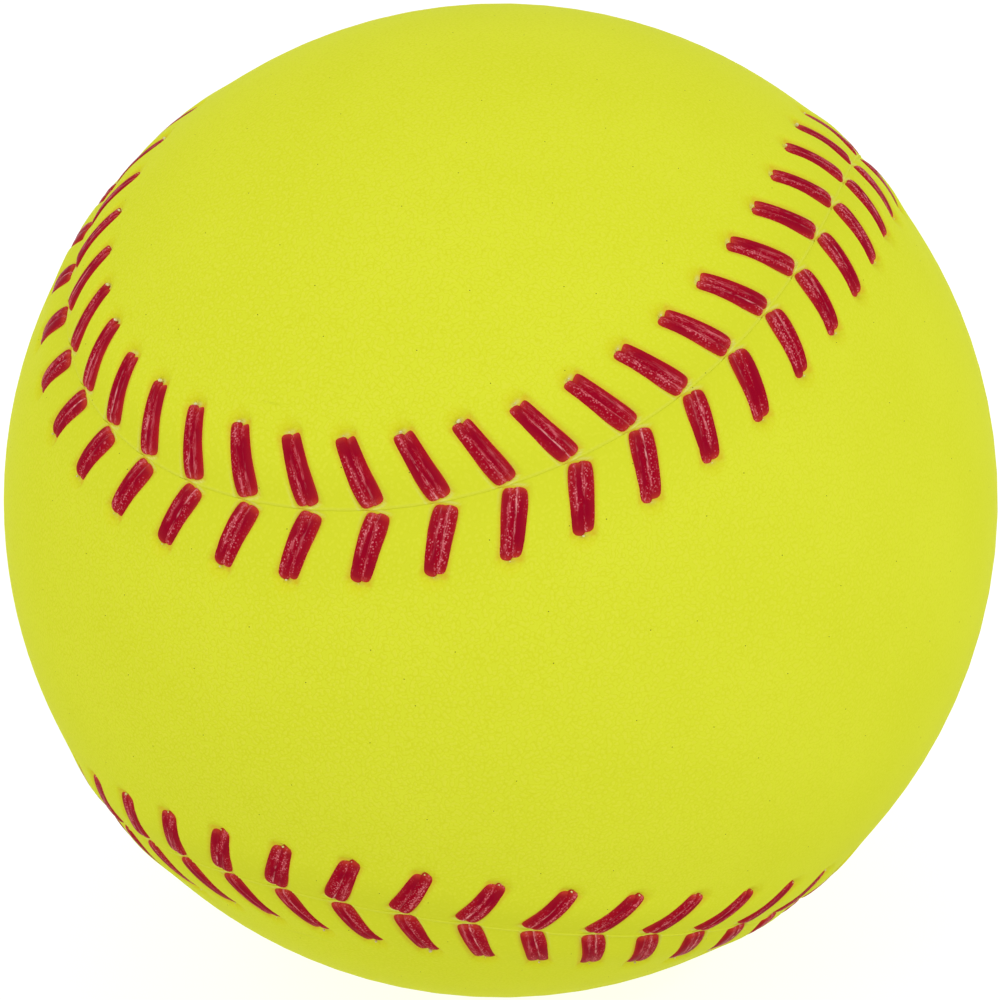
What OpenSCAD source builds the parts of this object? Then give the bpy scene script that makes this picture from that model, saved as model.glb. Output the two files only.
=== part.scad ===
// Sewn ball: a solid core, a coat of cement, and a cover of two panels laced
// together with red doubled thread. Each panel is a skin bonded to a felt backing.
// Millimetres. The origin is the centre of the ball. The waist of panel A crosses
// +Y and its lobes reach towards +Z and -Z. The waist of panel B crosses -Y and
// its lobes reach towards +X and -X.

/* [Ball] */
// Diameter over the smooth cover
ball_d = 97; // [88:0.5:130]
// Coloured skin of the cover
skin_t = 0.9; // [0.6:0.05:1.2]
// Felt backing under the skin
backing_t = 1.3; // [1.1:0.05:1.8]
// Cement that holds the cover to the core
cement_t = 0.3; // [0.1:0.05:0.6]

/* [Seam] */
// Space between the butted edges of the two panels
seam_gap = 0.2; // [0.1:0.05:0.3]
// How far the seam swings sideways, against its round part
swing_share = 0.497; // [0.46:0.001:0.52]
// How far the seam swings along Y, against its round part
rise_share = 1.127; // [1.05:0.001:1.2]

/* [Stitches] */
// Stitches along the seam, each with one leg on either panel
stitches = 88; // [60:2:92]
// Thickness of one strand of the doubled thread
strand_d = 1.05; // [0.8:0.05:1.15]
// Space between the two strands of a leg
strand_gap = 0.08; // [0.04:0.02:0.16]
// Distance from the seam line to the inner end of a leg
leg_inset = 0.4; // [0.35:0.05:0.6]
// Distance from the seam line to the awl hole at the outer end of a leg
leg_reach = 6.5; // [5.5:0.1:7]
// How far the awl holes of panel A lie ahead of the inner ends, along the seam
lead_a = 3; // [1.5:0.1:3.2]
// How far the awl holes of panel B lie ahead of the inner ends, along the seam
lead_b = 2.2; // [1.5:0.1:3.2]
// How far a leg stands proud of the cover, at the crown of its bow
leg_proud = 0.4; // [0.3:0.05:0.6]
// Bend radius of a leg
bow_r = 11; // [9:0.5:14]
// How far a leg runs on below the cover, past its awl hole
tuck_l = 0.7; // [0.4:0.05:0.8]
// Clearance round the thread in its slot
slot_clear = 0.1; // [0.05:0.01:0.15]
// Place of the first stitch, measured along the seam
first_stitch = 0.3; // [0:0.1:6]

/* [Hidden] */
$fn = 96;

// Radii of the layers, from the outside in
ball_r = ball_d / 2;
backing_r = ball_r - skin_t;
cement_r = backing_r - backing_t;
core_r = cement_r - cement_t;

// A panel is cut out in this many steps along its edge, and across its width
edge_steps = 88;
width_steps = 4;
// The wedge that cuts it out reaches past the ball, by this share of the radius
wedge_share = 1.3;
// Half the turn between the two seam points that give its direction
aim_turn = 0.5;
// Steps in which the seam is measured
rule_steps = 720;

function unit(v) = v / norm(v);

// Direction from the centre of the ball to the seam, at turn t of its full circle
function seam_dir(t) = unit([
    cos(t) - swing_share * cos(3 * t),
    rise_share * cos(2 * t),
    sin(t) + swing_share * sin(3 * t)
]);

// Direction to a point of the cover, at distance e from the seam.
// Panel A lies on the positive side of the seam, panel B on the negative side.
function side_dir(t, e) =
    let (u = seam_dir(t))
    let (along = seam_dir(t + aim_turn) - seam_dir(t - aim_turn))
    let (across = unit(cross(along, u)))
    let (turn = e / ball_r * 180 / PI)
    u * cos(turn) + across * sin(turn);

// The seam as a measured rule: pairs of length so far and turn, on this ball
rule_points = [for (i = [0 : rule_steps]) ball_r * seam_dir(360 * i / rule_steps)];
rule_steps_l = [for (i = [1 : rule_steps]) norm(rule_points[i] - rule_points[i - 1])];
rule = [for (i = 0, s = 0;
             i <= rule_steps;
             s = s + (i < rule_steps ? rule_steps_l[i] : 0), i = i + 1)
        [s, 360 * i / rule_steps]];
seam_l = rule[rule_steps][0];
stitch_pitch = seam_l / stitches;

// Direction to a point of the cover, s along the seam and e to its side
function cover_dir(s, e) = side_dir(lookup(s - seam_l * floor(s / seam_l), rule), e);

// A ball with its poles along X
module ball(r) {
    rotate([0, 90, 0])
        sphere(r);
}

// A shell of the ball between two radii
module layer(outer, inner) {
    difference() {
        ball(outer);
        ball(inner);
    }
}

// Wedge from the centre of the ball that holds panel A and nothing of panel B.
// Rows of points run across the panel, from one edge to its mirrored other edge,
// and close to a single point at the tip of each lobe.
module wedge() {
    row_points = [for (i = [0 : edge_steps])
        let (edge = side_dir(180 * i / edge_steps - 90, seam_gap / 2))
        [for (j = [0 : width_steps])
            wedge_share * ball_r * unit([edge.x * (1 - 2 * j / width_steps), edge.y, edge.z])]];
    row_size = width_steps + 1;
    inner_rows = [for (i = [1 : edge_steps - 1]) each row_points[i]];
    last = 2 + len(inner_rows);
    points = concat([[0, 0, 0]], [row_points[0][0]], inner_rows, [row_points[edge_steps][0]]);
    function at(i, j) = i == 0 ? 1 : i == edge_steps ? last : 2 + (i - 1) * row_size + j;
    faces = [
        for (i = [0 : edge_steps - 1]) each [
            [0, at(i + 1, 0), at(i, 0)],
            [0, at(i, width_steps), at(i + 1, width_steps)],
            for (j = [0 : width_steps - 1]) each [
                if (i > 0) [at(i, j), at(i + 1, j), at(i, j + 1)],
                if (i < edge_steps - 1) [at(i, j + 1), at(i + 1, j), at(i + 1, j + 1)]
            ],
        ]
    ];
    polyhedron(points, faces);
}

// One layer of a panel between two radii, with its slots: panel A (1) or B (-1).
// The two panels are cut alike, so panel B is panel A turned over.
module panel_layer(outer, inner, side) {
    difference() {
        rotate(side > 0 ? 0 : 180, [1, 0, 1])
            intersection() {
                layer(outer, inner);
                wedge();
            }
        slots(side);
    }
}

// Puts its children in the plane of one leg: x up out of the cover, y from the
// inner end towards the awl hole, and the origin at the middle of the leg's bend
module at_leg(inner, outer) {
    up = unit(inner + outer);
    ahead = unit(outer - inner);
    side = cross(up, ahead);
    middle = (ball_r + leg_proud - strand_d / 2 - bow_r) * up;
    multmatrix([
        [up.x, ahead.x, side.x, middle.x],
        [up.y, ahead.y, side.y, middle.y],
        [up.z, ahead.z, side.z, middle.z],
        [0, 0, 0, 1]
    ])
        children();
}

// Sweeps a section round the bend of a leg, past either end by the lengths given
module bow(inner, outer, inner_extra, outer_extra) {
    half_l = ball_r * norm(outer - inner) / 2;
    inner_turn = asin((half_l + inner_extra) / bow_r);
    outer_turn = asin((half_l + outer_extra) / bow_r);
    at_leg(inner, outer)
        rotate(-inner_turn)
            rotate_extrude(angle = inner_turn + outer_turn)
                translate([bow_r, 0])
                    children();
}

// Ends of leg k, on the side of panel A (1) or of panel B (-1)
function leg_inner(k, side) = cover_dir(first_stitch + k * stitch_pitch, side * leg_inset);
function leg_outer(k, side) =
    cover_dir(first_stitch + k * stitch_pitch + (side > 0 ? lead_a : lead_b), side * leg_reach);

// One leg: two strands side by side
module leg(k, side) {
    for (strand = [-1, 1])
        bow(leg_inner(k, side), leg_outer(k, side), 0, tuck_l)
            translate([0, strand * (strand_gap + strand_d) / 2])
                circle(d = strand_d);
}

// Slots that the legs lie in, from the edge of the panel into the awl holes
module slots(side) {
    slot_w = 2 * strand_d + strand_gap + 2 * slot_clear;
    for (k = [0 : stitches - 1])
        bow(leg_inner(k, side), leg_outer(k, side), leg_inset, tuck_l + slot_clear)
            square([strand_d + 2 * slot_clear, slot_w], center = true);
}

// The thread of one needle. The two needles cross at each stitch, so each
// thread has every other leg of a panel: the even ones of one panel, and the
// odd ones of the other panel.
module thread(even_side) {
    color("#b0122c")
        for (k = [0 : stitches - 1])
            leg(k, k % 2 == 0 ? even_side : -even_side);
}

module core() {
    color("#e9dfc4")
        ball(core_r);
}

module cement_coat() {
    color("#cdb56f")
        layer(cement_r, core_r);
}

module panel_a_backing() {
    color("white")
        panel_layer(backing_r, cement_r, 1);
}

module panel_a_skin() {
    color("#dfe62c")
        panel_layer(ball_r, backing_r, 1);
}

module panel_b_backing() {
    color("white")
        panel_layer(backing_r, cement_r, -1);
}

module panel_b_skin() {
    color("#dfe62c")
        panel_layer(ball_r, backing_r, -1);
}

module thread_a() {
    thread(1);
}

module thread_b() {
    thread(-1);
}

core();
cement_coat();
panel_a_backing();
panel_a_skin();
panel_b_backing();
panel_b_skin();
thread_a();
thread_b();
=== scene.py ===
"""A softball: a moulded core in a coat of cement, and a yellow cover of two
panels on felt, laced together with red doubled thread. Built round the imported
model, in its frame, in metres."""

import math
import random

import bmesh
import bpy
import numpy as np
from mathutils import Matrix, Vector


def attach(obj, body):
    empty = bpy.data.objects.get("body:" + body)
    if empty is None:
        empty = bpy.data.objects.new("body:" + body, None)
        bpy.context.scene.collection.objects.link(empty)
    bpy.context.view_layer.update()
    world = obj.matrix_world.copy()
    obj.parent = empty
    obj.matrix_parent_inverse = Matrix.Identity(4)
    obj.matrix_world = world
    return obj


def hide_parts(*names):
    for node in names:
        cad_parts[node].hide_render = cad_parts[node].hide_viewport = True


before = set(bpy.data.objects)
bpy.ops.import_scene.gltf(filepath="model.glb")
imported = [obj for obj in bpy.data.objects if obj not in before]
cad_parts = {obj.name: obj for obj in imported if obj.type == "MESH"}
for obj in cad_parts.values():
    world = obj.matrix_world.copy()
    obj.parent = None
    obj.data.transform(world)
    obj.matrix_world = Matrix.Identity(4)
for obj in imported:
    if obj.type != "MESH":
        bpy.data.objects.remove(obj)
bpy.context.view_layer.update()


# Core: a solid ball of moulded polyurethane, poured in two halves of a mould and
# tumbled. It carries the weight and the bounce, and the cover hides all of it.

mm = 0.001
foam_cell = 0.5 * mm

# A Mix node takes its two colours at the first two of these sockets, and gives the
# mixed colour at the third
colour_a, colour_b, colour_out = 6, 7, 2


def linear(hex_colour):
    """An sRGB hex value as the linear colour that Blender works in."""
    shares = [int(hex_colour[i:i + 2], 16) / 255 for i in (1, 3, 5)]
    return [*(c / 12.92 if c <= 0.04045 else ((c + 0.055) / 1.055) ** 2.4
              for c in shares), 1]


def add_node(tree, kind, settings={}, inputs={}):
    """Adds a node with its settings. An input is a value, or a socket to link."""
    made = tree.nodes.new("ShaderNode" + kind)
    for name, value in settings.items():
        setattr(made, name, value)
    for name, value in inputs.items():
        if isinstance(value, bpy.types.NodeSocket):
            tree.links.new(value, made.inputs[name])
        else:
            made.inputs[name].default_value = value
    return made


def new_material(name, sockets):
    """A material with one Principled shader: its node tree, and the shader."""
    made = bpy.data.materials.new(name)
    made.use_nodes = True
    tree = made.node_tree
    shader = tree.nodes["Principled BSDF"]
    for socket, value in sockets.items():
        shader.inputs[socket].default_value = value
    return made, tree, shader


def dress(name, material):
    """Gives a CAD node its material."""
    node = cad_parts[name]
    node.data.materials.clear()
    node.data.materials.append(material)


# Moulded polyurethane: a dull cream skin with small burst cells.
foam, tree, shader = new_material("moulded_polyurethane", {"Roughness": 0.7})
cells = add_node(tree, "TexVoronoi", inputs={
    "Vector": add_node(tree, "TexCoord").outputs["Object"], "Scale": 1 / foam_cell})
cell_share = add_node(tree, "MapRange", inputs={
    "Value": cells.outputs["Distance"], "From Max": 0.4})
cream = add_node(tree, "Mix", {"data_type": "RGBA"}, {
    "Factor": cell_share.outputs["Result"],
    colour_a: linear("#C9BA92"), colour_b: linear("#EAE1C6")})
foam_bump = add_node(tree, "Bump", inputs={
    "Strength": 0.5, "Distance": 0.1 * mm, "Height": cells.outputs["Distance"]})
tree.links.new(cream.outputs[colour_out], shader.inputs["Base Color"])
tree.links.new(foam_bump.outputs["Normal"], shader.inputs["Normal"])
dress("core", foam)


# Cement coat: latex cement brushed over the core, which bonds the cover to it.
# It dries to a clear amber film with the marks of the brush in it.

brush_mark = 2.5 * mm
brush_drag = 6

# Dried latex cement: glossy, amber, darker where it dried thick.
cement, tree, shader = new_material("dried_latex_cement", {"Roughness": 0.3})
drag = add_node(tree, "Mapping", inputs={
    "Vector": add_node(tree, "TexCoord").outputs["Object"], "Scale": (1, 1, brush_drag)})
streaks = add_node(tree, "TexNoise", inputs={
    "Vector": drag.outputs["Vector"], "Scale": 1 / brush_mark, "Detail": 4})
streak_share = add_node(tree, "MapRange", inputs={
    "Value": streaks.outputs["Fac"], "From Min": 0.3, "From Max": 0.7})
amber = add_node(tree, "Mix", {"data_type": "RGBA"}, {
    "Factor": streak_share.outputs["Result"],
    colour_a: linear("#A98B4A"), colour_b: linear("#D2BC7C")})
cement_bump = add_node(tree, "Bump", inputs={
    "Strength": 0.4, "Distance": 0.1 * mm, "Height": streaks.outputs["Fac"]})
tree.links.new(amber.outputs[colour_out], shader.inputs["Base Color"])
tree.links.new(cement_bump.outputs["Normal"], shader.inputs["Normal"])
dress("cement_coat", cement)


# Backing of both panels: white needled felt, bonded to the inside of the skin.
# It gives the cover its body, and the awl holes are punched through it.

fibre_apart = 0.2 * mm

# Needled felt: matt white, with short fibres that lie every way.
felt, tree, shader = new_material("needled_felt", {
    "Roughness": 0.95, "Sheen Weight": 0.3, "Sheen Roughness": 0.5})
fibres = add_node(tree, "TexNoise", inputs={
    "Vector": add_node(tree, "TexCoord").outputs["Object"], "Scale": 1 / fibre_apart,
    "Detail": 3, "Distortion": 2})
fibre_share = add_node(tree, "MapRange", inputs={
    "Value": fibres.outputs["Fac"], "From Min": 0.3, "From Max": 0.65})
off_white = add_node(tree, "Mix", {"data_type": "RGBA"}, {
    "Factor": fibre_share.outputs["Result"],
    colour_a: linear("#CFCBBE"), colour_b: linear("#EDEBE3")})
felt_bump = add_node(tree, "Bump", inputs={
    "Strength": 0.6, "Distance": 0.08 * mm, "Height": fibres.outputs["Fac"]})
tree.links.new(off_white.outputs[colour_out], shader.inputs["Base Color"])
tree.links.new(felt_bump.outputs["Normal"], shader.inputs["Normal"])
dress("panel_a_backing", felt)
dress("panel_b_backing", felt)


# Skins of the two panels: optic yellow synthetic leather, die cut and stretched
# over the ball wet, edge to edge. The thread pulls it down at each stitch, and
# the spare leather stands up between the stitches and beside the seam as a welt.

ball_r = 48.5 * mm
skin_t = 0.9 * mm

# How far the seam swings sideways and along Y, against its round part, in how many
# steps it is measured, and the turn to either side, in degrees, that gives its way
swing_share = 0.497
rise_share = 1.127
rule_steps = 1440
aim_turn = 0.5

stitches = 88
first_stitch = 0.3 * mm
# Legs of panel A (1) and of panel B (-1): distance of their inner and outer ends
# from the seam, and how far along the seam these lie from their stitch
leg_ends = {1: (0.3 * mm, 6.5 * mm, 0, 2.96 * mm),
            -1: (0.26 * mm, 6.3 * mm, -0.38 * mm, 1.78 * mm)}

# Columns of the mesh from one stitch to the next. Its first rows lie at the distances
# of fine_rows from the seam. Then two rows merge the columns by twos and by fours, and
# the rest run on to the panel's middle line, on the outside and on the inside. Points
# nearer than the weld become one
stitch_samples = 32
edge_gap = 0.004 * mm
fine_rows = [edge_gap] + [e * mm for e in (
    0.1, 0.18, 0.27, 0.38, 0.52, 0.7, 1.0, 1.5, 2.2, 3.0, 3.8, 4.6, 5.3, 5.8, 6.1, 6.3,
    6.45, 6.6, 6.75, 6.9, 7.05, 7.2, 7.35, 7.5, 7.7, 8.1)]
merge_step = 0.2 * mm
middle_rows = 10
wall_rows = 6
weld = 0.002 * mm

# The skin swells beside the seam as a welt, and sinks into a groove along it
welt_h = 0.32 * mm
welt_e = 3.6 * mm
welt_w = 2.7 * mm
groove_d = 0.014 * mm
groove_w = 0.1 * mm
# The edge of panel A stands up along the seam as a thin lip, with a pale painted
# highlight along it
lip_h = 0.08 * mm
lip_e = 0.17 * mm
lip_w = 0.1 * mm
lip_highlight = 0.14
# The bed that a leg presses into the skin: it is wider near the seam, and fades out
# past either end of the leg
bed_d = 0.24 * mm
bed_w = 1.28 * mm
bed_spread = 0.14 * mm
bed_past = 0.45 * mm
# The thread draws up thin folds of the skin along the legs of panel A (1) and of panel B
# (-1), near the seam, and each fold carries a painted highlight. For each: its side of
# the leg, how far off the middle of the leg it lies, how long it is, and how strong its
# painted highlight is
folds = {1: ((1, 1.46 * mm, 3.2 * mm, 0.42), (-1, 1.16 * mm, 1.8 * mm, 0.5)),
         -1: ((-1, 1.34 * mm, 2.4 * mm, 0.34),)}
fold_h = 0.04 * mm
fold_w = 0.075 * mm
# A fold starts this far before the leg, and turns in over this length, by an amount
# between these two, in millimetres
fold_before = 0.35 * mm
fold_turn = 0.8 * mm
fold_in = (0.18, 0.34)
# The pull of the thread smooths the grain up to about this far from the seam, and there
# the skin is also painted a little darker, as painted shade of the welt
smooth_e = 6 * mm
# A pale line just before the inner end of a leg is a painted highlight
brow_highlight = 0.7
brow_before = 0.19 * mm
brow_l = 0.09 * mm
brow_w = 1.05 * mm
# The skin dips round an awl hole, and from a little before the hole the dip and a thin
# ring round it are painted a deeper, darker yellow, as painted shade
dimple_d = 0.2 * mm
dimple_w = 1.1 * mm
hole_d = 0.14 * mm
hole_w = 0.3 * mm
hole_past = 0.08 * mm
hollow_shade = {1: 0.52, -1: 0.36}
hollow_w = 0.85 * mm
hollow_before = 0.3 * mm
ring_shade = 0.12
ring_r = 1.05 * mm
ring_w = 0.1 * mm
# The edge of the awl hole carries a painted highlight, stronger on some legs than on
# others
brim_highlights = {1: (0.6, 1.1), -1: (0.1, 0.4)}
brim_past = 0.07 * mm
brim_l = 0.17 * mm
brim_w = 0.5 * mm
# The skin is tinted orange beside the thread, and the tint fades fast past its ends
thread_side = 1.02 * mm
tint_share = 0.3
tint_w = 0.22 * mm
tint_fade = 5


def unit(vectors):
    return vectors / np.linalg.norm(vectors, axis=-1, keepdims=True)


def seam_dir(turns):
    """Directions from the centre of the ball to the seam, for turns in degrees."""
    t = np.radians(turns)
    return unit(np.stack([np.cos(t) - swing_share * np.cos(3 * t),
                          rise_share * np.cos(2 * t),
                          np.sin(t) + swing_share * np.sin(3 * t)], -1))


rule_turns = np.linspace(0, 360, rule_steps + 1)
rule_points = ball_r * seam_dir(rule_turns)
rule_l = np.append(0, np.cumsum(np.linalg.norm(np.diff(rule_points, axis=0), axis=1)))
seam_l = rule_l[-1]
stitch_pitch = seam_l / stitches


def cover_dir(s, e):
    """Directions to points s along the seam and e to its side, panel A's first."""
    turns = np.interp(np.mod(s, seam_l), rule_l, rule_turns)
    seam = seam_dir(turns)
    along = seam_dir(turns + aim_turn) - seam_dir(turns - aim_turn)
    across = unit(np.cross(along, seam))
    turn = np.asarray(e)[..., None] / ball_r
    return seam * np.cos(turn) + across * np.sin(turn)


class Legs:
    """The legs of one panel: their ends on the cover, and their three directions."""

    def __init__(self, side):
        self.side = side
        inner_e, outer_e, inner_s, outer_s = leg_ends[side]
        at = first_stitch + stitch_pitch * np.arange(stitches)
        self.inner = ball_r * cover_dir(at + inner_s, np.full(stitches, side * inner_e))
        self.outer = ball_r * cover_dir(at + outer_s, np.full(stitches, side * outer_e))
        self.ahead = unit(self.outer - self.inner)
        self.up = unit(self.outer + self.inner)
        self.across = np.cross(self.up, self.ahead)
        self.length = np.linalg.norm(self.outer - self.inner, axis=1)
        self.slant = (outer_s - inner_s) / (outer_e - inner_e)
        self.start = first_stitch + inner_s - self.slant * inner_e
        # How the skin was drawn at each leg, and how strong the painted highlight at its
        # awl hole is
        chance = np.random.RandomState(20 + side)
        self.fold_in = chance.uniform(*fold_in, stitches) * mm
        self.brim_highlight = chance.uniform(*brim_highlights[side], stitches)


def relief(legs, s, e, points):
    """Height of the skin over the smooth ball, and three marks on it: its painted
    highlight on the lip, folds and edges, its painted shade in the hollows at the awl
    holes, and its orange tint beside the thread."""
    height = welt_h * np.exp(-((e - welt_e) / welt_w) ** 2)
    height -= groove_d * np.exp(-(e / groove_w) ** 2)
    lip = math.exp(-((e - lip_e) / lip_w) ** 2) if legs.side > 0 else 0
    height += lip_h * lip
    # The lip carries a painted highlight
    edge_highlight = np.full(len(s), lip_highlight * lip)
    dimple_shade = np.zeros(len(s))
    thread_tint = np.zeros(len(s))
    # Each point is shaped by the nearest leg and by the legs before and after it
    nearest = np.rint((s - legs.start - legs.slant * e) / stitch_pitch).astype(int)
    for step in (-1, 0, 1):
        k = (nearest + step) % stitches
        from_inner = points - legs.inner[k]
        length = legs.length[k]
        a = np.sum(from_inner * legs.ahead[k], -1)
        w = np.sum(from_inner * legs.across[k], -1)
        past = np.maximum(0, np.maximum(-a, a - length)) / bed_past
        from_seam = np.clip(1 - 2 * a / length, 0, 1)
        bed = bed_w + bed_spread * from_seam
        height -= bed_d * np.exp(-(w / bed) ** 8 - past ** 2)
        to_end = np.hypot(a - length, w)
        height -= dimple_d * np.exp(-(to_end / dimple_w) ** 3)
        to_hole = np.hypot(a - length - hole_past, w)
        height -= hole_d * np.exp(-(to_hole / hole_w) ** 2)
        for way, fold_out, fold_l, fold_highlight in folds[legs.side]:
            turned_in = np.clip(1 - a / fold_turn, 0, 1.5) ** 2
            off = way * w - fold_out + legs.fold_in[k] * turned_in
            fold = np.exp(-(off / fold_w) ** 2) * (a > -fold_before)
            # It keeps its height for a third of its length, and then dies away
            fold *= np.clip(1.5 - 1.5 * a / fold_l, 0, 1)
            height += fold_h * fold
            edge_highlight += fold_highlight * fold
        # Painted highlights just before the inner end and at the edge of the awl hole
        edge_highlight += brow_highlight * np.exp(-((a + brow_before) / brow_l) ** 2
                                    - (w / brow_w) ** 6)
        edge_highlight += legs.brim_highlight[k] * np.exp(-((a - length - brim_past) / brim_l) ** 2
                                       - (w / brim_w) ** 4)
        # Painted shade in the dip at the awl hole and in a thin ring round it
        outer_end = a > length - hollow_before
        hollow = hollow_shade[legs.side] * np.exp(-(to_hole / hollow_w) ** 2)
        ring = ring_shade * np.exp(-((to_hole - ring_r) / ring_w) ** 2)
        dimple_shade += (hollow + ring) * outer_end
        # An orange tint beside the thread
        off_thread = np.maximum(0, np.abs(w) - thread_side)
        thread_tint = np.maximum(thread_tint, tint_share * np.exp(-(off_thread / tint_w) ** 2
                                                       - (tint_fade * past) ** 2))
    return height, np.clip([edge_highlight, dimple_shade, thread_tint], 0, 1)


def new_piece(name, bm, material):
    """Makes a finished mesh an object that rides with the ball."""
    mesh = bpy.data.meshes.new(name)
    bm.to_mesh(mesh)
    bm.free()
    mesh.shade_smooth()
    mesh.materials.append(material)
    piece = bpy.data.objects.new(name, mesh)
    bpy.context.scene.collection.objects.link(piece)
    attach(piece, "root")
    return piece


def skin_mesh(side, mirror_axis):
    """A panel as a closed shell: rows that follow the seam, and then rows that
    close on the panel's middle line, on its outside and on its inside."""
    legs = Legs(side)
    count = stitches * stitch_samples
    s = seam_l * np.arange(count) / count
    bm = bmesh.new()
    bmesh.ops.create_circle(bm, segments=count, radius=ball_r)
    place = bm.verts.layers.int.new("place")
    mark_layers = [bm.verts.layers.float.new(mark) for mark in ("edge_highlight", "dimple_shade", "thread_tint")]
    smooth_and_shade = bm.verts.layers.float.new("smooth_and_shade")
    sheet = bm.verts.layers.float_vector.new("sheet")
    bm.verts.ensure_lookup_table()
    for i, v in enumerate(bm.verts):
        v[place] = i
    rim_edges = list(bm.edges)

    def lay(verts, spots, marks, e):
        """Puts the points of a row in their places, with their marks."""
        pull = math.exp(-(e / smooth_e) ** 2)
        for v in verts:
            v.co = spots[v[place]]
            v[smooth_and_shade] = pull
            for mark_layer, mark in zip(mark_layers, marks):
                v[mark_layer] = mark[v[place]]

    def next_row(edges, spots, marks, e):
        """Adds a row of faces to these edges, and gives back its far edges."""
        made = bmesh.ops.extrude_edge_only(bm, edges=edges)["geom"]
        verts = {g for g in made if isinstance(g, bmesh.types.BMVert)}
        lay(verts, spots, marks, e)
        return [g for g in made if isinstance(g, bmesh.types.BMEdge)
                and verts.issuperset(g.verts)]

    # The columns of the mesh slant with the legs, and end on the mirrored ones
    column = 4 * seam_l / count
    last_e = fine_rows[-1]
    slant_e = fine_rows[-3]
    slants = ([0, slant_e, last_e],
              [0, legs.slant * slant_e, column * round(legs.slant * last_e / column)])

    none = np.zeros((3, count))
    for j, e in enumerate(fine_rows):
        row_s = s + np.interp(e, *slants)
        spots = ball_r * cover_dir(row_s, np.full(count, side * e))
        height, marks = relief(legs, row_s, e, spots)
        spots = unit(spots) * (ball_r + height)[:, None]
        if j == 0:
            lay(bm.verts, spots, marks, e)
            edges = rim_edges
            rim = unit(spots)
        else:
            edges = next_row(edges, spots, marks, e)

    def close(edges, last, shift, radius, rows, height):
        """Coarser rows from a ring of directions to the panel's middle line."""
        for merge in (2, 4):
            e = last + merge * merge_step
            kept = (np.arange(count) // merge) * merge
            ring = cover_dir(s + shift, np.full(count, side * e))[kept]
            edges = next_row(edges, ring * (radius + height(e)), none, e)
        for row in range(1, rows + 1):
            flat = ring.copy()
            flat[:, mirror_axis] *= 1 - row / rows
            edges = next_row(edges, unit(flat) * radius, none, e)

    close(edges, last_e, slants[1][-1], ball_r, middle_rows,
          lambda e: welt_h * math.exp(-((e - welt_e) / welt_w) ** 2))
    inner_edges = next_row(rim_edges, rim * (ball_r - skin_t), none, 0)
    for edge in rim_edges + inner_edges:
        edge.smooth = False
    close(inner_edges, edge_gap, 0, ball_r - skin_t, wall_rows, lambda e: 0)
    bmesh.ops.remove_doubles(bm, verts=bm.verts, dist=weld)
    bmesh.ops.recalc_face_normals(bm, faces=bm.faces)
    # Where each point lay on the flat sheet that the panel was cut from: along the
    # panel's middle line, and off it
    for v in bm.verts:
        way = v.co.normalized()
        v[sheet] = (ball_r * math.atan2(way[2 - mirror_axis], side * way.y),
                    ball_r * math.asin(way[mirror_axis]), 0)
    return bm


grain_l = 0.55 * mm
cloud_l = 14 * mm
speck_apart = 8 * mm

# Synthetic leather: optic yellow, embossed as a flat sheet with small round and long
# pebbles, and matt. Each pebble has a paler top, which is painted light, and a fine
# darker outline, which is painted shade. The grain, with its painted light and shade, is
# stronger towards one side of the ball. Where the thread pulls it, it is smoother and
# painted a little darker as shade of the welt. Its lip, folds and hole edges carry
# painted highlights, the hollows at the awl holes carry painted shade in a deeper yellow,
# and it is tinted orange beside the thread.
leather, tree, shader = new_material("embossed_synthetic_leather", {
    "Roughness": 0.5, "Specular IOR Level": 0.005})
sheet = add_node(tree, "Attribute", {"attribute_name": "sheet"})
wander = add_node(tree, "TexNoise", {"noise_dimensions": "2D"}, {
    "Vector": sheet.outputs["Vector"], "Scale": 1 / (2 * grain_l), "Detail": 1})
moved = add_node(tree, "VectorMath", {"operation": "MULTIPLY_ADD"}, {
    0: wander.outputs["Color"], 1: (0.4 * grain_l,) * 3, 2: sheet.outputs["Vector"]})
emboss = add_node(tree, "TexVoronoi", {
    "voronoi_dimensions": "2D", "feature": "SMOOTH_F1"}, {
    "Vector": moved.outputs["Vector"], "Scale": 1 / grain_l, "Smoothness": 0.15,
    "Randomness": 0.9})
warp = add_node(tree, "TexNoise", {"noise_dimensions": "2D"}, {
    "Vector": sheet.outputs["Vector"], "Scale": 1.5 / grain_l, "Detail": 0})
# The pebbles are the places nearest to a cell's middle, and no two are shaped alike
pebble = add_node(tree, "Math", {"operation": "MULTIPLY_ADD"}, {
    0: warp.outputs["Fac"], 1: 0.56, 2: emboss.outputs["Distance"]})
# How strong the grain and its painted light and shade are there, stronger towards one
# side of the ball, and how much of that the pull of the thread left
grain_side_way = Vector((-0.25, -0.78, 0.45))
grain_side = add_node(tree, "VectorMath", {"operation": "DOT_PRODUCT"}, {
    0: add_node(tree, "TexCoord").outputs["Object"], 1: grain_side_way / ball_r})
grain_side = add_node(tree, "MapRange", inputs={
    "Value": grain_side.outputs["Value"], "From Min": -0.5, "From Max": 1,
    "To Min": 0.45, "To Max": 0.98})
smooth_and_shade = add_node(tree, "Attribute", {"attribute_name": "smooth_and_shade"})
left = add_node(tree, "MapRange", inputs={
    "Value": smooth_and_shade.outputs["Fac"], "To Min": 1, "To Max": 0.35})
grain = add_node(tree, "Math", {"operation": "MULTIPLY"}, {
    0: grain_side.outputs["Result"], 1: left.outputs["Result"]})
# Pebble tops are painted paler, as painted light on the raised relief
top = add_node(tree, "MapRange", {"interpolation_type": "SMOOTHSTEP"}, {
    "Value": pebble.outputs["Value"], "From Min": 0.64, "From Max": 0.4,
    "To Max": grain.outputs["Value"]})
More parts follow.
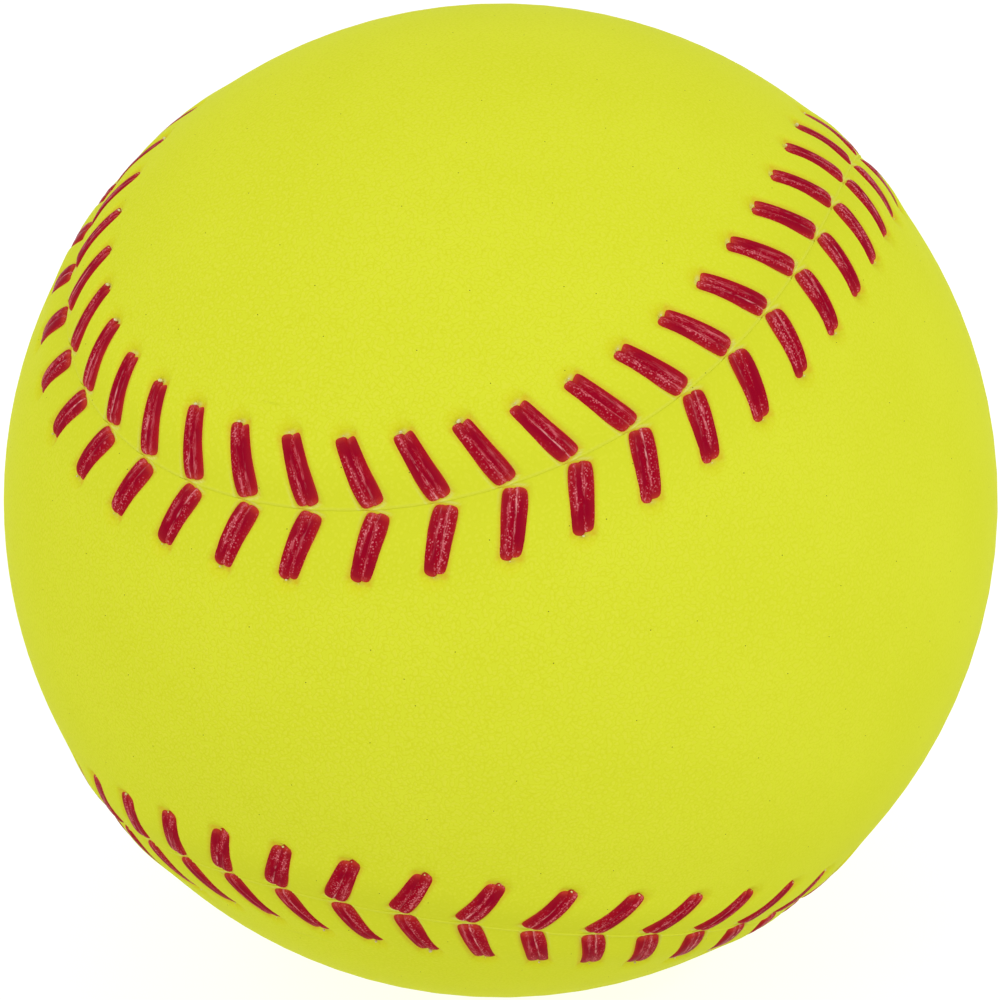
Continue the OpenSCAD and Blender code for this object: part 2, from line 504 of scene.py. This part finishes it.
# A thin darker line round each pebble is painted shade
off_edge = add_node(tree, "Math", {"operation": "SUBTRACT"}, {
    0: pebble.outputs["Value"], 1: 0.73})
off_edge = add_node(tree, "Math", {"operation": "ABSOLUTE"}, {
    0: off_edge.outputs["Value"]})
outline = add_node(tree, "MapRange", {"interpolation_type": "SMOOTHSTEP"}, {
    "Value": off_edge.outputs["Value"], "From Min": 0.14, "From Max": 0.01,
    "To Max": grain.outputs["Value"]})
clouds = add_node(tree, "TexNoise", {"noise_dimensions": "2D"}, {
    "Vector": sheet.outputs["Vector"], "Scale": 1 / cloud_l, "Detail": 2})
cloud = add_node(tree, "MapRange", inputs={
    "Value": clouds.outputs["Fac"], "From Min": 0.3, "From Max": 0.7})
yellow = add_node(tree, "Mix", {"data_type": "RGBA"}, {
    "Factor": cloud.outputs["Result"],
    colour_a: linear("#E5EC35"), colour_b: linear("#E8EF3A")})
# Near the seam the yellow is painted a little darker, as shade of the welt
seam_shaded = add_node(tree, "Mix", {"data_type": "RGBA"}, {
    "Factor": smooth_and_shade.outputs["Fac"],
    colour_a: yellow.outputs[colour_out], colour_b: linear("#E0E633")})
outline_shaded = add_node(tree, "Mix", {"data_type": "RGBA"}, {
    "Factor": outline.outputs["Result"],
    colour_a: seam_shaded.outputs[colour_out], colour_b: linear("#E0E52B")})
top_lit = add_node(tree, "Mix", {"data_type": "RGBA"}, {
    "Factor": top.outputs["Result"],
    colour_a: outline_shaded.outputs[colour_out], colour_b: linear("#E9ED40")})
# Painted shade, a deeper yellow, in the hollows at the awl holes
dimple_shade = add_node(tree, "Attribute", {"attribute_name": "dimple_shade"})
dimple_shaded = add_node(tree, "Mix", {"data_type": "RGBA"}, {
    "Factor": dimple_shade.outputs["Fac"],
    colour_a: top_lit.outputs[colour_out], colour_b: linear("#E0D300")})
# An orange tint beside the thread
thread_tint = add_node(tree, "Attribute", {"attribute_name": "thread_tint"})
tinted = add_node(tree, "Mix", {"data_type": "RGBA"}, {
    "Factor": thread_tint.outputs["Fac"],
    colour_a: dimple_shaded.outputs[colour_out], colour_b: linear("#E0822E")})
# Painted highlights on the lip, the folds and the edges
edge_highlight = add_node(tree, "Attribute", {"attribute_name": "edge_highlight"})
edge_highlighted = add_node(tree, "Mix", {"data_type": "RGBA"}, {
    "Factor": edge_highlight.outputs["Fac"],
    colour_a: tinted.outputs[colour_out], colour_b: linear("#EEF084")})
# Specks of dust that stick in the pits
specks = add_node(tree, "TexVoronoi", {"voronoi_dimensions": "2D"}, {
    "Vector": sheet.outputs["Vector"], "Scale": 1 / speck_apart})
speck = add_node(tree, "Math", {"operation": "LESS_THAN"}, {
    0: specks.outputs["Distance"], 1: 0.006})
specked = add_node(tree, "Mix", {"data_type": "RGBA"}, {
    "Factor": speck.outputs["Value"],
    colour_a: edge_highlighted.outputs[colour_out], colour_b: linear("#4A4F1C")})
leather_bump = add_node(tree, "Bump", inputs={
    "Strength": grain.outputs["Value"], "Distance": 0.015 * mm,
    "Height": top.outputs["Result"]})
tree.links.new(specked.outputs[colour_out], shader.inputs["Base Color"])
tree.links.new(leather_bump.outputs["Normal"], shader.inputs["Normal"])

for name, side, mirror_axis in (("panel_a", 1, 0), ("panel_b", -1, 2)):
    bm = skin_mesh(side, mirror_axis)
    skin = new_piece(name + "_leather", bm, leather)
    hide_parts(name + "_skin")


# Awl holes: one at the outer end of each leg, punched through skin and felt. The
# awl and the thread draw a small tuft of the white felt up into each hole.

# Least and greatest half width of a tuft on panel A (1) and on panel B (-1), and how
# far its middle lies below the smooth ball
tuft_r = {1: (0.06 * mm, 0.24 * mm), -1: (0.05 * mm, 0.15 * mm)}
tuft_sink = {1: 0.1 * mm, -1: 0.14 * mm}
# Most tufts are small, and they are flatter along the leg than across it
tuft_skew = 1.5
tuft_flat = (0.5, 0.8)

# Needled felt in the holes: its fibres are rubbed dull and stained by the skin.
tuft_felt, tree, shader = new_material("stained_felt_fibres", {"Roughness": 0.95})
fibres = add_node(tree, "TexNoise", inputs={
    "Vector": add_node(tree, "TexCoord").outputs["Object"], "Scale": 1 / fibre_apart,
    "Detail": 3})
fibre_share = add_node(tree, "MapRange", inputs={
    "Value": fibres.outputs["Fac"], "From Min": 0.35, "From Max": 0.65})
yellowed = add_node(tree, "Mix", {"data_type": "RGBA"}, {
    "Factor": fibre_share.outputs["Result"],
    colour_a: linear("#DCD084"), colour_b: linear("#F4EEBC")})
tree.links.new(yellowed.outputs[colour_out], shader.inputs["Base Color"])

random.seed(11)
bm = bmesh.new()
for side in (1, -1):
    legs = Legs(side)
    least, greatest = tuft_r[side]
    for k in range(stitches):
        spot = Vector(legs.outer[k] + legs.ahead[k] * hole_past)
        spot = spot.normalized() * (ball_r - tuft_sink[side])
        wide = least + (greatest - least) * random.random() ** tuft_skew
        turn = Matrix([legs.ahead[k], legs.across[k], legs.up[k]]).transposed().to_4x4()
        size = Matrix.Diagonal((wide * random.uniform(*tuft_flat), wide, wide, 1))
        bmesh.ops.create_icosphere(bm, subdivisions=1, radius=1,
                                   matrix=Matrix.Translation(spot) @ turn @ size)
new_piece("awl_hole_tufts", bm, tuft_felt)


# Thread: red waxed cord, doubled, so each leg is two strands side by side. Two
# needles lace the panels from hole to hole and cross under the seam, so each
# thread has every other leg of a panel and the ones between on the other panel.

strand_w = 1.66 * mm
strand_h = 0.84 * mm
strand_apart = 0.88 * mm
# Height in millimetres of the top of a strand over the smooth ball, from the inner
# end (0) to the outer end (1) of its leg
crown = ((0, 0.2), (0.08, 0.32), (0.3, 0.4), (0.5, 0.38), (0.72, 0.28), (0.92, 0.08),
         (1, -0.02))
crown_at = [at for at, top in crown]
crown_top = [top * mm for at, top in crown]
# How much narrower a leg is at its awl hole than at the seam, as a share, on panel A
# (1) and on panel B (-1), and how far its middle bends out sideways: on average, and
# how much that varies, in millimetres
narrowing = {1: 0.03, -1: -0.08}
leg_bend = {1: 0.11, -1: 0}
bend_spread = 0.06
# A strand is a ball that is drawn out: how blunt its two ends are, how square its
# section is, and how far its rings crowd towards the ends
blunt_inner, blunt_outer = 0.33, 0.34
squared = 0.8
crowded = 1.5
# The ends of a leg are cut along the seam, though not all the way: the inner end by
# this share, and the outer end by that much more. Inner ends are rounded off, and so
# are the outer ends on panel B, while those on panel A are notched
lead_inner, lead_more = 0.35, 0.55
corner = {1: 0.24 * mm, -1: 0.2 * mm}
round_off = 0.55 * mm
notch = 0.14 * mm
# No two strands are alike: ranges of their length and width, as shares, and of how
# far they lie off their place, in millimetres
length_range = (0.98, 1.02)
width_range = (0.98, 1.04)
off_range = (-0.03, 0.03)

filament_w = 0.08 * mm
blister_w = 0.24 * mm
patch_w = 0.9 * mm
line_break_w = 0.2 * mm
# Where the painted highlight lines lie along the two strands of a leg, off the leg's
# middle line, how much that varies, in millimetres, and how whole a line may be
highlight_lines = {1: (-0.36 * mm, 0.27 * mm), -1: (-0.5 * mm, 0.16 * mm)}
highlight_spread = 0.07
highlight_faint, highlight_half, highlight_whole = 0.2, 0.7, 1

# Waxed cord: deep crimson, drawn lengthwise, thinner at its sides and ends and painted
# brighter there, as light shining through it. Small blisters and streaks break up its
# surface. The streaks along the crown of each strand and a pale line in them are painted
# highlights, and the blisters carry painted glints.
cord, tree, shader = new_material("waxed_crimson_cord", {
    "Roughness": 0.25, "Specular IOR Level": 0.003})
lie = add_node(tree, "Attribute", {"attribute_name": "lie"})
pulled = add_node(tree, "Mapping", inputs={
    "Vector": lie.outputs["Vector"], "Scale": (1, 0.07, 1)})
filaments = add_node(tree, "TexNoise", inputs={
    "Vector": pulled.outputs["Vector"], "Scale": 1 / filament_w, "Detail": 2})
filament = add_node(tree, "MapRange", inputs={
    "Value": filaments.outputs["Fac"], "From Min": 0.48, "From Max": 0.62})
runs = add_node(tree, "Mapping", inputs={
    "Vector": lie.outputs["Vector"], "Scale": (1, 0.3, 1)})
patches = add_node(tree, "TexNoise", inputs={
    "Vector": runs.outputs["Vector"], "Scale": 1 / patch_w, "Detail": 1})
patch = add_node(tree, "MapRange", inputs={
    "Value": patches.outputs["Fac"], "From Min": 0.42, "From Max": 0.58})
dull = add_node(tree, "MapRange", inputs={
    "Value": patches.outputs["Fac"], "From Min": 0.52, "From Max": 0.38, "To Max": 0.5})
soaked = add_node(tree, "Mix", {"data_type": "RGBA"}, {
    "Factor": dull.outputs["Result"],
    colour_a: linear("#A70824"), colour_b: linear("#930C2B")})
# The outer side and the ends of a strand are painted brighter red, as light shining
# through the cord there
edge = add_node(tree, "Attribute", {"attribute_name": "edge"})
red = add_node(tree, "Mix", {"data_type": "RGBA"}, {
    "Factor": edge.outputs["Fac"],
    colour_a: soaked.outputs[colour_out], colour_b: linear("#E25236")})
# A band of streaks along the crown of each strand is a painted highlight
crest = add_node(tree, "Attribute", {"attribute_name": "crest"})
off_line = add_node(tree, "Math", {"operation": "ABSOLUTE"}, {0: crest.outputs["Fac"]})
band = add_node(tree, "MapRange", {"interpolation_type": "SMOOTHSTEP"}, {
    "Value": off_line.outputs["Value"], "From Min": 0.1 * mm, "From Max": 0.32 * mm,
    "To Min": filament.outputs["Result"], "To Max": 0})
band = add_node(tree, "Math", {"operation": "MULTIPLY"}, {
    0: band.outputs["Result"], 1: patch.outputs["Result"]})
crown_highlighted = add_node(tree, "Mix", {"data_type": "RGBA"}, {
    "Factor": band.outputs["Value"],
    colour_a: red.outputs[colour_out], colour_b: linear("#D8626C")})
# The thin pale line in the band is a painted highlight, broken in places
line_break_runs = add_node(tree, "Mapping", inputs={
    "Vector": lie.outputs["Vector"], "Scale": (1, 0.25, 1)})
line_breaks = add_node(tree, "TexNoise", inputs={
    "Vector": line_break_runs.outputs["Vector"], "Scale": 1 / line_break_w, "Detail": 2})
line_kept = add_node(tree, "MapRange", inputs={
    "Value": line_breaks.outputs["Fac"], "From Min": 0.42, "From Max": 0.62})
highlight_line = add_node(tree, "MapRange", {"interpolation_type": "SMOOTHSTEP"}, {
    "Value": off_line.outputs["Value"], "From Min": 0.05 * mm, "From Max": 0.12 * mm,
    "To Min": line_kept.outputs["Result"], "To Max": 0})
highlight_amount = add_node(tree, "Attribute", {"attribute_name": "highlight_amount"})
highlight_line = add_node(tree, "Math", {"operation": "MULTIPLY"}, {
    0: highlight_line.outputs["Result"], 1: highlight_amount.outputs["Fac"]})
line_highlighted = add_node(tree, "Mix", {"data_type": "RGBA"}, {
    "Factor": highlight_line.outputs["Value"],
    colour_a: crown_highlighted.outputs[colour_out], colour_b: linear("#F0A2A0")})
# Blisters: they come in patches, most of them near the crown. They are raised, and their
# pale pink dots are painted glints
blisters = add_node(tree, "TexVoronoi", inputs={
    "Vector": lie.outputs["Vector"], "Scale": 1 / blister_w})
blister = add_node(tree, "MapRange", {"interpolation_type": "SMOOTHSTEP"}, {
    "Value": blisters.outputs["Distance"], "From Min": 0.4, "From Max": 0.24,
    "To Max": patch.outputs["Result"]})
blistered = add_node(tree, "Attribute", {"attribute_name": "blistered"})
blister = add_node(tree, "Math", {"operation": "MULTIPLY"}, {
    0: blister.outputs["Result"], 1: blistered.outputs["Fac"]})
near = add_node(tree, "MapRange", inputs={
    "Value": off_line.outputs["Value"], "From Min": 0.2 * mm, "From Max": 0.6 * mm,
    "To Min": 1, "To Max": 0.3})
blister = add_node(tree, "Math", {"operation": "MULTIPLY"}, {
    0: blister.outputs["Value"], 1: near.outputs["Result"]})
blister_glinted = add_node(tree, "Mix", {"data_type": "RGBA"}, {
    "Factor": blister.outputs["Value"],
    colour_a: line_highlighted.outputs[colour_out], colour_b: linear("#E67C84")})
raised = add_node(tree, "Math", {"operation": "MULTIPLY_ADD"}, {
    0: blister.outputs["Value"], 1: 0.6, 2: filaments.outputs["Fac"]})
cord_bump = add_node(tree, "Bump", inputs={
    "Strength": 0.5, "Distance": 0.01 * mm, "Height": raised.outputs["Value"]})
tree.links.new(blister_glinted.outputs[colour_out], shader.inputs["Base Color"])
tree.links.new(cord_bump.outputs["Normal"], shader.inputs["Normal"])


def add_strand(bm, legs, k, strand, stagger, bend, highlight_off):
    """One strand of leg k: a ball drawn out along the leg and bent over the cover."""
    ball = bmesh.new()
    lie_at = ball.verts.layers.float_vector.new("lie")
    edge_at = ball.verts.layers.float.new("edge")
    crest_at = ball.verts.layers.float.new("crest")
    blistered_at = ball.verts.layers.float.new("blistered")
    highlight_amount_at = ball.verts.layers.float.new("highlight_amount")
    inner, outer = Vector(legs.inner[k]), Vector(legs.outer[k])
    ahead, across = Vector(legs.ahead[k]), Vector(legs.across[k])
    middle = (inner + outer) / 2
    half_l = legs.length[k] / 2
    # The ends of a leg are cut along the seam, so one strand leads the other
    lead = strand * strand_apart / 2 * stagger
    stretch = random.uniform(*length_range)
    sway = random.uniform(*off_range) * mm
    lift = random.uniform(*off_range) * mm
    width = strand_w / 2 * random.uniform(*width_range)
    start = random.random()
    # The painted highlight line is whole on some strands, and all but gone on others
    highlight_amount = highlight_faint
    if strand > 0:
        highlight_amount = random.choice((highlight_faint, highlight_half, highlight_whole))
    bmesh.ops.create_uvsphere(ball, u_segments=8, v_segments=8, radius=1)
    for v in ball.verts:
        x, y, z = v.co
        girth = math.hypot(x, y)
        swell = girth ** (blunt_inner if z < 0 else blunt_outer) if girth > 1e-6 else 0
        x, y = (math.copysign(abs(c / max(girth, 1e-6)) ** squared, c) * swell
                for c in (x, y))
        z = math.copysign(1 - (1 - abs(z)) ** crowded, z)
        at = 0.5 + z / 2
        along = z * half_l * stretch + lead * (lead_inner + lead_more * at)
        if z < 0:
            along += corner[legs.side] * max(0, strand * x) ** 2 * z ** 4
        elif legs.side > 0:
            along += notch * strand * x * z ** 4
        else:
            along -= round_off * max(0, strand * x) ** 2 * z ** 4
        gathered = 1 - narrowing[legs.side] * at
        sideways = (strand * strand_apart / 2 + x * width) * gathered + sway
        sideways += bend * (1 - z * z)
        height = np.interp(at, crown_at, crown_top) + lift + (y - 1) * strand_h / 2
        flat = middle.normalized() * ball_r + ahead * along + across * sideways
        v.co = flat.normalized() * (ball_r + height)
        v[lie_at] = (sideways, along + start, height)
        # The cord thins out at the outer side of a strand and at its two ends, and is
        # painted brighter there, as light shining through it
        v[edge_at] = max(0, strand * x) ** 8 + 0.7 * abs(z) ** 12
        # The painted highlight line stops short of the awl hole
        v[highlight_amount_at] = highlight_amount * min(1, max(0, 1.9 - 2.4 * at))
        # Where the painted highlight lines lie across the strand
        v[crest_at] = sideways - highlight_lines[legs.side][strand > 0] - highlight_off
        # The wax of panel A's legs blistered on one of their two strands
        v[blistered_at] = min(1, max(0.1, 0.5 + sideways / mm)) if legs.side > 0 else 1
    ball.to_mesh(loose_strand)
    ball.free()
    bm.from_mesh(loose_strand)


loose_strand = bpy.data.meshes.new("loose_strand")
at_stitch = first_stitch + stitch_pitch * np.arange(stitches)
on_seam = np.zeros(stitches)
seam_way = cover_dir(at_stitch + 1 * mm, on_seam) - cover_dir(at_stitch - 1 * mm, on_seam)
for name, even_side, seed in (("thread_a", 1, 5), ("thread_b", -1, 6)):
    random.seed(seed)
    bm = bmesh.new()
    for side in (1, -1):
        legs = Legs(side)
        # How far the seam runs along a leg, against how far it runs across it
        stagger = np.sum(seam_way * legs.ahead, -1) / np.sum(seam_way * legs.across, -1)
        bend = [random.gauss(leg_bend[side], bend_spread) * mm for k in range(stitches)]
        highlight_off = [random.gauss(0, highlight_spread) * mm for k in range(stitches)]
        for k in range(stitches):
            if side == (even_side if k % 2 == 0 else -even_side):
                for strand in (-1, 1):
                    add_strand(bm, legs, k, strand, stagger[k], bend[k], highlight_off[k])
    bmesh.ops.recalc_face_normals(bm, faces=bm.faces)
    thread = new_piece(name + "_cord", bm, cord)
    rounding = thread.modifiers.new("rounding", "SUBSURF")
    rounding.levels = rounding.render_levels = 1
    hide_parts(name)
bpy.data.meshes.remove(loose_strand)


# Floor: a plain pale sheet that the ball rests on. It is white to the camera where
# nothing shades it, and keeps the shadow of the ball.

floor_half = 3
bm = bmesh.new()
bmesh.ops.create_grid(bm, x_segments=1, y_segments=1, size=floor_half,
                      matrix=Matrix.Translation((0, 0, -ball_r)))
floor_mesh = bpy.data.meshes.new("floor")
bm.to_mesh(floor_mesh)
bm.free()
floor = bpy.data.objects.new("floor", floor_mesh)
bpy.context.scene.collection.objects.link(floor)

# Matt white paper: it lights the ball from below as paper does, and round the foot of the
# ball it also glows a little. What the camera sees of it is lifted to white, and its
# shadow stays.
paper = bpy.data.materials.new("matt_white_paper")
paper.use_nodes = True
tree = paper.node_tree
tree.nodes.clear()
path = add_node(tree, "LightPath")
seen = add_node(tree, "Math", {"operation": "MAXIMUM"}, {
    0: path.outputs["Is Camera Ray"], 1: path.outputs["Is Glossy Ray"]})
seen = add_node(tree, "Math", {"operation": "MAXIMUM"}, {
    0: seen.outputs["Value"], 1: path.outputs["Is Transmission Ray"]})
matt = add_node(tree, "BsdfDiffuse", inputs={"Color": linear("#F0F0F0")})
# The paper glows a little round the foot of the ball, painted light that keeps the ball
# from going black there
to_ball = add_node(tree, "VectorMath", {"operation": "LENGTH"}, {
    0: add_node(tree, "TexCoord").outputs["Object"]})
under = add_node(tree, "MapRange", inputs={
    "Value": to_ball.outputs["Value"], "From Min": ball_r, "From Max": 1.4 * ball_r,
    "To Min": 0.32, "To Max": 0})
shine = add_node(tree, "Emission", inputs={"Strength": under.outputs["Result"]})
matt = add_node(tree, "AddShader", inputs={
    0: matt.outputs["BSDF"], 1: shine.outputs["Emission"]})
shown = add_node(tree, "BsdfDiffuse", inputs={"Color": linear("#A6A6A6")})
glow = add_node(tree, "Emission", inputs={"Strength": 0.8})
lifted = add_node(tree, "AddShader", inputs={
    0: shown.outputs["BSDF"], 1: glow.outputs["Emission"]})
sheet = add_node(tree, "MixShader", inputs={
    "Fac": seen.outputs["Value"], 1: matt.outputs["Shader"], 2: lifted.outputs["Shader"]})
# Seen from below, the sheet isn't there
clear = add_node(tree, "BsdfTransparent")
one_sided = add_node(tree, "MixShader", inputs={
    "Fac": add_node(tree, "NewGeometry").outputs["Backfacing"],
    1: sheet.outputs["Shader"], 2: clear.outputs["BSDF"]})
add_node(tree, "OutputMaterial", inputs={"Surface": one_sided.outputs["Shader"]})
floor_mesh.materials.append(paper)


# Surround: an even pale light from all sides, a little weaker overhead. The camera
# sees it as white.

surround = 0.82
overhead = 0.63
world = bpy.data.worlds.new("studio")
bpy.context.scene.world = world
world.use_nodes = True
tree = world.node_tree
tree.nodes.clear()
path = add_node(tree, "LightPath")
seen = add_node(tree, "Math", {"operation": "MAXIMUM"}, {
    0: path.outputs["Is Camera Ray"], 1: path.outputs["Is Glossy Ray"]})
seen = add_node(tree, "Math", {"operation": "MAXIMUM"}, {
    0: seen.outputs["Value"], 1: path.outputs["Is Transmission Ray"]})
way_up = add_node(tree, "SeparateXYZ", inputs={
    "Vector": add_node(tree, "TexCoord").outputs["Generated"]})
dimmed = add_node(tree, "MapRange", inputs={
    "Value": way_up.outputs["Z"], "From Min": 0.1, "From Max": 0.9,
    "To Min": surround, "To Max": overhead})
level = add_node(tree, "MapRange", inputs={
    "Value": seen.outputs["Value"], "To Min": dimmed.outputs["Result"], "To Max": 1})
white = add_node(tree, "Background", inputs={
    "Color": (1, 1, 1, 1), "Strength": level.outputs["Result"]})
add_node(tree, "OutputWorld", inputs={"Surface": white.outputs["Background"]})


# Camera: it looks at the ball from its front and right and from above, turned a
# little on its own axis.

azimuth = math.radians(29.65)
elevation = math.radians(26.25)
roll = math.radians(-2.06)
camera_far = 0.4004
camera = bpy.data.objects.new("camera", bpy.data.cameras.new("camera"))
bpy.context.scene.collection.objects.link(camera)
camera.data.sensor_width = 36
camera.data.lens = 146.66
camera.data.shift_x = -0.00071
camera.data.shift_y = 0.0004
camera.data.clip_start = 0.01
camera.data.clip_end = 20
turned = (Matrix.Rotation(azimuth, 4, "Z")
          @ Matrix.Rotation(math.pi / 2 - elevation, 4, "X")
          @ Matrix.Rotation(roll, 4, "Z"))
camera.matrix_world = turned @ Matrix.Translation((0, 0, camera_far))
bpy.context.scene.camera = camera
bpy.context.scene.view_settings.view_transform = "Standard"


# Soft boxes: two narrow bright ones before the ball, on its right and its left, and
# two wide weak ones on its right side and at its upper left. For each: the way to it
# as the camera sees it, its width and height, and its strength.

box_far = 0.9
for name, aim, size, strength in (
        ("right_box", (0.5, 0.36, 0.79), (0.08, 0.26), 15.5),
        ("left_box", (-0.62, 0.08, 0.78), (0.05, 0.26), 11),
        ("side_box", (0.93, 0.05, 0.36), (0.3, 0.3), 1),
        ("upper_box", (-0.66, 0.64, 0.38), (0.3, 0.3), 2.1)):
    lamp = bpy.data.objects.new(name, bpy.data.lights.new(name, "AREA"))
    bpy.context.scene.collection.objects.link(lamp)
    lamp.data.shape = "RECTANGLE"
    lamp.data.size, lamp.data.size_y = size
    lamp.data.energy = strength * math.pi * size[0] * size[1]
    lamp.matrix_world = turned @ (Vector(aim).to_track_quat("Z", "Y").to_matrix().to_4x4()
                                  @ Matrix.Translation((0, 0, box_far)))
